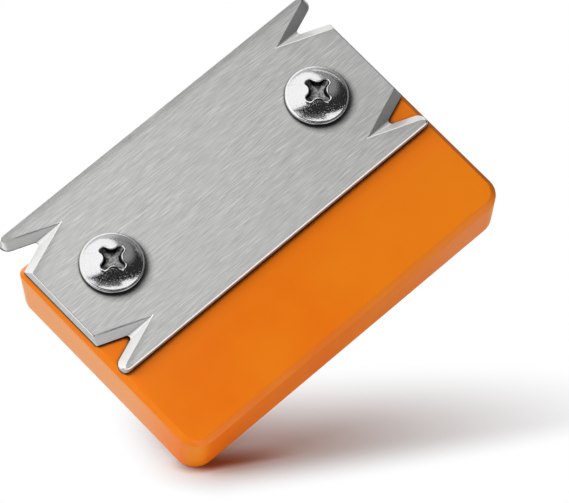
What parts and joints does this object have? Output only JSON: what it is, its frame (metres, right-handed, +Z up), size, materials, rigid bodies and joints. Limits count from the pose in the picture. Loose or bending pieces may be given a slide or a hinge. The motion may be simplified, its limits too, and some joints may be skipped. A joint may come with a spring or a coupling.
{
  "type": "edge banding trimmer",
  "caption": "Hand trimmer for edge banding: a moulded grip block carries a screwed-on steel plate that overhangs one side, with bevelled V notches that shear the banding flush.",
  "frame": {"origin": "middle of the grip block's flat underside", "axes": "+X along the plate, +Y towards the side where the plate overhangs the block, +Z up out of the plate"},
  "size_m": [0.076, 0.0533, 0.0155],
  "materials": {
    "grip": "satin orange moulding",
    "plate": "brushed along its length, ground bevels",
    "screws": "bright plated",
    "inserts": "turned"
  },
  "bodies": {
    "trimmer": {"grip_block": "grip", "cutter_plate": "plate", "thread_insert_left": "inserts", "thread_insert_right": "inserts"},
    "left_screw": {"clamp_screw_left": "screws"},
    "right_screw": {"clamp_screw_right": "screws"}
  },
  "joints": [
    {"name": "left_screw_turn", "type": "hinge", "parent": "trimmer", "child": "left_screw", "pos_m": [-0.025, 0.01265, 0.0128], "axis": [0, 0, 1], "continuous": true},
    {"name": "right_screw_turn", "type": "hinge", "parent": "trimmer", "child": "right_screw", "pos_m": [0.025, 0.01265, 0.0128], "axis": [0, 0, 1], "continuous": true}
  ]
}
